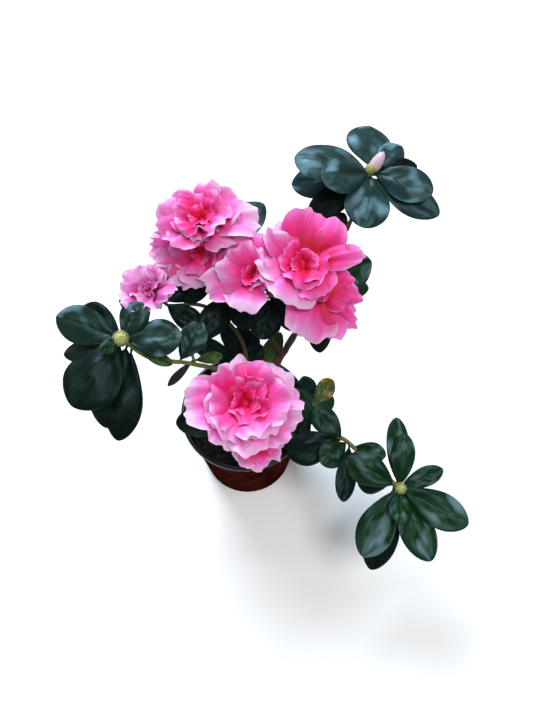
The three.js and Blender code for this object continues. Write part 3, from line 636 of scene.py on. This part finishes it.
class Shader:
    """Small helper round a material's node tree."""

    def __init__(self, name, roughness, specular):
        self.material = bpy.data.materials.new(name)
        self.material.use_nodes = True
        self.tree = self.material.node_tree
        self.surface = self.tree.nodes["Principled BSDF"]
        self.surface.inputs["Roughness"].default_value = roughness
        self.surface.inputs["Specular IOR Level"].default_value = specular

    def node(self, kind, **settings):
        made = self.tree.nodes.new(kind)
        for key, value in settings.items():
            setattr(made, key, value)
        return made

    def put(self, socket, value):
        if hasattr(value, "is_output"):
            self.tree.links.new(value, socket)
        else:
            socket.default_value = value

    def marks(self, *names):
        """The marks that a heap leaves on its points."""
        nodes = [self.node("ShaderNodeAttribute", attribute_name=name) for name in names]
        return [node.outputs["Fac"] for node in nodes]

    def math(self, operation, a, b=0.0, c=0.0, clamp=False):
        made = self.node("ShaderNodeMath", operation=operation, use_clamp=clamp)
        for socket, value in zip(made.inputs, (a, b, c)):
            self.put(socket, value)
        return made.outputs[0]

    def times(self, a, b):
        return self.math("MULTIPLY", a, b)

    def less(self, a, b):
        """What b leaves of a, never below zero."""
        return self.math("SUBTRACT", a, b, clamp=True)

    def slope(self, value, rise, start, clamp=True):
        return self.math("MULTIPLY_ADD", value, rise, start, clamp=clamp)

    def noise(self, vector, scale, detail, rough=0.5):
        made = self.node("ShaderNodeTexNoise")
        self.put(made.inputs["Vector"], vector)
        made.inputs["Scale"].default_value = scale
        made.inputs["Detail"].default_value = detail
        made.inputs["Roughness"].default_value = rough
        return made.outputs["Fac"]

    def grain(self, scale, detail, rough=0.5):
        """Noise that runs evenly through the whole object."""
        place = self.node("ShaderNodeTexCoord").outputs["Object"]
        return self.noise(place, scale, detail, rough)

    def blade_noise(self, marks, stretch, scale, detail, rough=0.5):
        """Noise laid on each blade by its marks (across, along, tone), so that no two are alike."""
        made = self.node("ShaderNodeCombineXYZ")
        for socket, mark, by in zip(made.inputs, marks, stretch):
            self.put(socket, self.times(mark, by))
        return self.noise(made.outputs[0], scale, detail, rough)

    def ramp(self, value, stops):
        made = self.node("ShaderNodeValToRGB")
        elements = made.color_ramp.elements
        elements[0].position, elements[0].color = stops[0][0], linear(stops[0][1])
        elements[1].position, elements[1].color = stops[-1][0], linear(stops[-1][1])
        for at, colour in stops[1:-1]:
            elements.new(at).color = linear(colour)
        self.put(made.inputs["Fac"], value)
        return made.outputs["Color"]

    def mix(self, share, a, b):
        made = self.node("ShaderNodeMix", data_type="RGBA")
        self.put(made.inputs[0], share)
        self.put(made.inputs[6], a)
        self.put(made.inputs[7], b)
        return made.outputs[2]

    def bump(self, height, depth, strength):
        made = self.node("ShaderNodeBump")
        made.inputs["Strength"].default_value = strength
        made.inputs["Distance"].default_value = depth
        self.put(made.inputs["Height"], height)
        self.put(self.surface.inputs["Normal"], made.outputs[0])

    def finish(self, colour):
        self.put(self.surface.inputs["Base Color"], colour)
        return self.material


def leaf_material(name, deep, fresh, rib, under, sky_reflection_and_streak, gloss):
    """Painted reflection: the sky's pale reflection painted into a leaf's colour in patches towards its tip;
    on the yellow tint the same patches hold a real orange streak.
    """
    deep, fresh, rib, under, sky_reflection_and_streak = (linear(rgb) for rgb in (deep, fresh, rib, under, sky_reflection_and_streak))
    sh = Shader(name, 0.38, gloss)
    sh.surface.inputs["Specular Tint"].default_value = (0.55, 0.85, 1.0, 1.0)
    along, across, tone, side = sh.marks("along", "across", "tone", "side")
    wide = sh.math("ABSOLUTE", across)
    patch = sh.blade_noise((across, along, tone), (1.3, 2.6, 31.0), 1.4, 4.0)
    body = sh.mix(sh.slope(patch, 1.6, -0.3), deep, fresh)
    # Painted reflection: pale patches of reflected sky, more of them towards the tip; on the yellow tint
    # they carry its real orange streak.
    reflection_and_streak_patches = sh.slope(sh.blade_noise((across, along, tone), (0.8, 1.7, 57.0), 1.3, 1.5), 7.0, -3.85)
    reflection_and_streak_patches = sh.times(reflection_and_streak_patches, sh.slope(along, 1.7, -0.25))
    # Painted shade: each leaf fades to its deep green towards its stalk, where the leaves crowd at the
    # middle of their mass.
    body = sh.mix(sh.slope(along, -1.6, 0.7), body, deep)
    body = sh.mix(reflection_and_streak_patches, body, sky_reflection_and_streak)
    # Ribs are fresh on the green of a leaf; in the reflection patches they go deep, as painted shade in the
    # creases.
    midrib = sh.less(1.0, sh.times(wide, 18.0))
    phase = sh.math("SUBTRACT", sh.slope(along, 5.0, 0.25, clamp=False), sh.times(wide, 1.3))
    from_vein = sh.math("PINGPONG", phase, 0.5)
    veins = sh.times(sh.less(1.0, sh.times(from_vein, 16.0)), sh.less(0.9, wide))
    body = sh.mix(sh.times(veins, 0.2), body, rib)
    body = sh.mix(sh.times(midrib, sh.slope(along, -0.6, 0.85)), body, rib)
    # Painted shade: ribs and veins take the deep green inside the painted reflection, where creases would
    # not mirror the sky.
    painted_crease_shade = sh.times(sh.math("MAXIMUM", midrib, veins), reflection_and_streak_patches)
    body = sh.mix(sh.times(painted_crease_shade, 0.75), body, deep)
    body = sh.mix(sh.times(sh.less(1.0, sh.times(along, 9.0)), 0.8), body, rib)
    body = sh.mix(side, body, under)
    sh.put(sh.surface.inputs["Roughness"], sh.slope(patch, 0.16, 0.33, clamp=False))
    quilt = sh.times(from_vein, sh.less(1.0, wide))
    fine = sh.times(sh.grain(900.0, 2.0), 0.3)
    sh.bump(sh.math("MULTIPLY_ADD", quilt, 2.5, fine), 0.0005, 0.5)
    return sh.finish(body)


def petal_material(name, stops, roughness=0.62):
    """The stops run from a petal's foot to its edge, moved along by streaks, blotches and tone."""
    sh = Shader(name, roughness, 0.35)
    along, across, tone = sh.marks("along", "across", "tone")
    streak = sh.blade_noise((across, along, tone), (5.0, 1.1, 41.0), 1.6, 4.0, 0.6)
    blotch = sh.blade_noise((across, along, tone), (1.2, 1.6, 23.0), 1.2, 2.0)
    sides = sh.math("POWER", sh.math("ABSOLUTE", across), 3.0)
    edge = sh.math("ADD", along, sh.times(sides, 0.16))
    for value, rise, start in ((streak, 0.26, -0.13), (blotch, 0.6, -0.3), (tone, 0.55, -0.42)):
        edge = sh.math("ADD", edge, sh.slope(value, rise, start, clamp=False))
    sh.surface.inputs["Subsurface Weight"].default_value = 0.35
    sh.surface.inputs["Subsurface Radius"].default_value = (1.0, 0.25, 0.5)
    sh.surface.inputs["Subsurface Scale"].default_value = 0.003
    sh.bump(streak, 0.0003, 0.5)
    return sh.finish(sh.ramp(edge, stops))


def stem_material(name, stops):
    sh = Shader(name, 0.7, 0.35)
    rough, coarse = sh.grain(420.0, 6.0, 0.6), sh.grain(90.0, 3.0)
    shade = sh.math("ADD", sh.times(rough, 0.6), sh.times(coarse, 0.4))
    # A limb's tone makes its whole colour darker or lighter; on bough_small_flower the low tone is painted
    # shade.
    shade = sh.math("ADD", shade, sh.slope(sh.marks("tone")[0], 0.9, -0.45, clamp=False))
    sh.bump(rough, 0.0006, 0.9)
    return sh.finish(sh.ramp(shade, stops))


def grainy_material(name, stops, scale, roughness, depth, specular):
    sh = Shader(name, roughness, specular)
    grain = sh.grain(scale, 6.0, 0.6)
    sh.bump(grain, depth, 0.7)
    return sh.finish(sh.ramp(grain, stops))


# Each tint of leaf: its deep and fresh green, its ribs, its underside, its painted reflection of the sky (a
# real orange streak on the yellow tint) and its gloss.
TINTS = {
    # Painted light: a sky-lit copy of the leaf, its greens painted blue-grey as the reflected sky.
    "sky_lit_slate": ((10, 24, 16), (42, 68, 68), (44, 70, 54), (60, 78, 62), (94, 130, 142), 0.25),
    # Painted light: a sky-lit copy of the leaf, with bluer greens and bright painted reflection patches.
    "sky_lit_cool": ((8, 26, 14), (22, 45, 34), (44, 74, 56), (80, 98, 80), (100, 128, 134), 0.35),
    # Painted shade: a near-black copy of the leaf for leaves that lie in shade.
    "shaded": ((3, 11, 6), (9, 23, 13), (26, 50, 30), (50, 66, 46), (22, 38, 28), 0.14),
    "green": ((6, 28, 6), (17, 50, 16), (46, 84, 36), (80, 104, 68), (84, 108, 110), 0.22),
    "brown": ((28, 24, 14), (54, 44, 28), (70, 58, 38), (60, 52, 36), (60, 52, 34), 0.2),
    "lime": ((30, 48, 14), (56, 76, 24), (96, 114, 46), (92, 108, 52), (76, 96, 40), 0.3),
    "yellow": ((26, 52, 18), (92, 94, 24), (120, 124, 50), (90, 100, 44), (196, 136, 34), 0.3),
}
LEAF_TINTS = {tint: leaf_material(f"leaf_{tint}", *look) for tint, look in TINTS.items()}
PETAL = petal_material("petal", [
    (0.00, (205, 8, 52)), (0.16, (222, 22, 88)), (0.38, (234, 46, 130)), (0.60, (236, 84, 162)),
    (0.82, (236, 128, 194)), (1.00, (236, 176, 222)),
])
PETAL_MAUVE = petal_material("petal_mauve", [
    (0.00, (170, 16, 66)), (0.30, (186, 44, 112)), (0.55, (198, 74, 142)), (0.80, (212, 112, 178)),
    (1.00, (232, 166, 216)),
])
BUD_LOOKS = {
    "green": petal_material("bud_green", [
        (0.0, (60, 34, 16)), (0.3, (96, 78, 32)), (0.6, (140, 146, 66)), (1.0, (200, 202, 132)),
    ], 0.45),
    "pink": petal_material("bud_pink", [
        (0.0, (120, 140, 40)), (0.28, (186, 190, 110)), (0.5, (226, 184, 198)), (1.0, (232, 196, 214)),
    ], 0.5),
}
BARK = stem_material("bark", [(0.25, (34, 22, 16)), (0.5, (66, 44, 32)), (0.75, (104, 78, 58))])
GREEN_BARK = stem_material("green_bark", [
    (0.25, (62, 52, 26)), (0.5, (96, 98, 42)), (0.75, (132, 138, 70)),
])
POT_CLAY = grainy_material("pot_clay", [
    (0.33, (12, 5, 5)), (0.4, (46, 13, 9)), (0.75, (72, 29, 23)),
], 85.0, 0.7, 0.0002, 0.0)
POT_BLACK = grainy_material("pot_black", [
    (0.3, (10, 10, 13)), (0.8, (26, 27, 33)),
], 70.0, 0.4, 0.0001, 0.25)
SOIL = grainy_material("soil", [
    (0.3, (10, 8, 8)), (0.55, (28, 22, 19)), (0.8, (58, 46, 38)),
], 240.0, 0.95, 0.0015, 0.2)


# ---- assemblies ------------------------------------------------------------------------------
def build_masses():
    for name, mass in MASSES.items():
        draw = np.random.default_rng(mass["seed"])
        short = name.replace("foliage_", "")
        twigs = Heap()
        twigs.tube(mass["stem"], mass["radii"], 12, 0.8, 0.5, 0.1, draw)
        line, _ = route_points(mass["stem"], 101)
        heaps = {}
        for place, turn, pitch, length, width, tint in mass["leaves"]:
            heap = heaps.setdefault(tint, Heap())
            foot = line[int(round(place * 100))]
            droop, roll = LEAF["droop"] + draw.uniform(-10, 12), draw.uniform(-10, 10)
            wide = width * LEAF["widen"]
            grow_leaf(heap, foot, turn, pitch, length, wide, droop, roll, draw)
        for tint, heap in heaps.items():
            heap.build(f"leaves_{short}_{tint}", LEAF_TINTS[tint], [name], "foliage")
        twigs.build(f"twig_{short}", GREEN_BARK, [name], "green_stem")
        for k, spec in enumerate(mass["buds"]):
            scales = Heap()
            grow_bud(scales, line[-1], spec, draw)
            scales.build(f"bud_{short}_{k + 1}", BUD_LOOKS[spec["look"]], [name], "foliage")


def build_blooms():
    for name, spec in BLOOMS.items():
        petals, stalk = Heap(), Heap()
        grow_bloom(petals, stalk, spec)
        look = PETAL_MAUVE if spec.get("mauve") else PETAL
        petals.build(name.replace("bloom", "petals"), look, [name], "blossom")
        stalk.build(name.replace("bloom", "stalk"), GREEN_BARK, [name], "green_stem")


def build_limbs():
    draw = np.random.default_rng(5)
    bark, green = Heap(), Heap()
    bark.tube(TRUNK["route"], TRUNK["radii"], 28, 0.5, 0.4, 0.12, draw)
    for spec in BOUGHS.values():
        heap = green if spec["green"] else bark
        heap.tube(spec["route"], spec["radii"], 18, 0.6, spec["tone"], 0.12, draw)
    woody = ["trunk"] + [name for name, spec in BOUGHS.items() if not spec["green"]]
    young = [name for name, spec in BOUGHS.items() if spec["green"]]
    bark.build("woody_boughs", BARK, woody, "bark")
    green.build("green_boughs", GREEN_BARK, young, "green_stem")


def wall_radius(z):
    mouth = POT["rim"] - POT["overhang"]
    return POT["base"] + (mouth - POT["base"]) * z / (POT["height"] - POT["lip"])


def lathe(name, profile, looks, materials):
    """A turned solid; looks gives the material of each band of the profile."""
    sides = POT["sides"]
    angle = ring_angles(sides)
    points, rings = [], []
    for r, z in profile:
        if r == 0:
            rings.append([len(points)] * sides)
            points.append((0, 0, z * MM))
        else:
            rings.append(list(range(len(points), len(points) + sides)))
            points += [(r * math.cos(a) * MM, r * math.sin(a) * MM, z * MM) for a in angle]
    faces, index = [], []
    for k, (low, high) in enumerate(zip(rings, rings[1:])):
        for i in range(sides):
            j = (i + 1) % sides
            face = [low[i], low[j], high[j], high[i]]
            faces.append([v for n, v in enumerate(face) if v not in face[:n]])
            index.append(looks[k])
    mesh = bpy.data.meshes.new(name)
    mesh.from_pydata(points, [], faces)
    for material in materials:
        mesh.materials.append(material)
    mesh.polygons.foreach_set("material_index", index)
    mesh.polygons.foreach_set("use_smooth", [True] * len(faces))
    return link_object(name, mesh)


def build_pot():
    top, rim, foot = POT["height"], POT["rim"], POT["height"] - POT["lip"]
    outside = [(0, 0), (30, 0), (POT["base"] - 1, 0), (POT["base"], 1), (wall_radius(foot), foot)]
    rolled_lip = [
        (rim - 0.8, foot), (rim - 0.2, foot + 0.3), (rim, foot + 0.9), (rim, top - 1.2),
        (rim - 0.4, top - 0.4), (rim - 1.1, top), (rim - 2.0, top), (rim - 2.6, top - 0.5),
    ]
    inside = [
        (wall_radius(foot) - POT["wall"], foot - 2), (wall_radius(0) - POT["wall"], POT["floor"]),
        (0, POT["floor"]),
    ]
    clay, black = 0, 1
    looks = [clay] * (len(outside) - 1) + [black] * (len(rolled_lip) + len(inside))
    pot = lathe("pot_shell", outside + rolled_lip + inside, looks, [POT_CLAY, POT_BLACK])
    cutters = []
    for a in ring_angles(POT["holes"]):
        place = (POT["ring"] * math.cos(a), POT["ring"] * math.sin(a), POT["floor"] / 2)
        bpy.ops.mesh.primitive_cylinder_add(
            vertices=24, radius=POT["hole"] * MM, depth=6 * MM, location=[v * MM for v in place],
        )
        cutters.append(bpy.context.object)
    for cutter in cutters:
        cut = pot.modifiers.new("hole", "BOOLEAN")
        cut.object, cut.operation, cut.solver = cutter, "DIFFERENCE", "EXACT"
    graph = bpy.context.evaluated_depsgraph_get()
    drilled = bpy.data.meshes.new_from_object(pot.evaluated_get(graph))
    pot.modifiers.clear()
    pot.data = drilled
    for cutter in cutters:
        bpy.data.objects.remove(cutter)
    drilled.set_sharp_from_angle(angle=math.radians(35))
    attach(pot, "root")
    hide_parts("pot")


def build_soil():
    draw = np.random.default_rng(3)
    reach = wall_radius(EARTH["top"]) - POT["wall"] - EARTH["gap"]
    r = np.linspace(0, 1, EARTH["rings"])[:, None] * reach
    a = ring_angles(EARTH["sides"])[None, :]
    x, y = r * np.cos(a), r * np.sin(a)
    z = np.full_like(x, EARTH["top"] - EARTH["dip"])
    for _ in range(EARTH["ripples"]):
        k = draw.uniform(0.15, 1.6)
        turn, phase = draw.uniform(0, ANY_PHASE), draw.uniform(0, ANY_PHASE)
        run = x * math.cos(turn) + y * math.sin(turn)
        z += EARTH["ripple"] / (1 + k) * np.sin(k * run + phase)
    heap = Heap()
    surface = np.stack([x, y, z], -1)
    heap.add(surface, r / reach, a / np.pi - 1, 0.5, 0.0, closed=True)
    foot = surface[-1] * [0.9, 0.9, 1] - [0, 0, EARTH["skirt"]]
    heap.add(np.stack([surface[-1], foot]), 0.5, a / np.pi - 1, 0.5, 0.0, closed=True)
    u = np.linspace(0.02, np.pi - 0.02, 5)[:, None]
    v = ring_angles(7)[None, :]
    ball = np.stack([np.sin(u) * np.cos(v), np.sin(u) * np.sin(v), np.cos(u) * np.ones_like(v)], -1)
    for _ in range(EARTH["crumbs"]):
        out, turn = reach * 0.97 * math.sqrt(draw.uniform()), draw.uniform(0, ANY_PHASE)
        size = draw.uniform(0.5, 1.7)
        crumb = ball * size * draw.uniform(0.6, 1.2, 3)
        crumb = crumb * (1 + 0.25 * draw.uniform(-1, 1, ball.shape[:2] + (1,)))
        centre = [out * math.cos(turn), out * math.sin(turn), EARTH["top"] - EARTH["crumb_dip"]]
        heap.add(crumb + centre, 0.5, 0.0, draw.uniform(), 0.0, closed=True, flip=True)
    heap.build("soil_surface", SOIL, ["potting_soil"], "soil")


# ---- stage -----------------------------------------------------------------------------------
def area_light(name, place, size, power, colour):
    light = bpy.data.lights.new(name, "AREA")
    light.shape, light.size, light.energy, light.color = "DISK", size, power, colour
    obj = link_object(name, light)
    obj.location = place
    way = Vector(LIT_POINT) - Vector(place)
    obj.rotation_euler = way.to_track_quat("-Z", "Y").to_euler()


def build_stage():
    bpy.ops.mesh.primitive_plane_add(size=6, location=(0, 0, -0.0002))
    floor = bpy.context.object
    floor.name = "floor"
    floor.data.materials.append(Shader("floor_paint", 0.9, 0.1).finish(linear((250, 250, 250))))

    scene = bpy.context.scene
    scene.world = scene.world or bpy.data.worlds.new("world")
    scene.world.use_nodes = True
    sky = scene.world.node_tree.nodes["Background"]
    sky.inputs["Color"].default_value = SKY["colour"]
    sky.inputs["Strength"].default_value = SKY["strength"]
    for name, light in LIGHTS.items():
        area_light(name, *light)
    scene.view_settings.view_transform = "Standard"

    camera = link_object("camera", bpy.data.cameras.new("camera"))
    camera.location = CAMERA["place"]
    camera.rotation_euler = (math.radians(CAMERA["tilt"]), 0, 0)
    camera.data.sensor_width = CAMERA["sensor"]
    camera.data.lens = CAMERA["focal"] / CAMERA["frame"] * CAMERA["sensor"]
    camera.data.clip_start = 0.01
    scene.camera = camera


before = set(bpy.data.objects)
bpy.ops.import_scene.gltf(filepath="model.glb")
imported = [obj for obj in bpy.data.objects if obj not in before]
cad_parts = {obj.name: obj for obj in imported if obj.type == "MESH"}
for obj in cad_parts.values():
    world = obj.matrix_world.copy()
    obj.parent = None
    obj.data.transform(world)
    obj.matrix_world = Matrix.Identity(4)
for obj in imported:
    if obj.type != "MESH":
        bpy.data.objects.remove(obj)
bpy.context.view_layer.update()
build_pot()
build_soil()
build_limbs()
build_masses()
build_blooms()
build_stage()
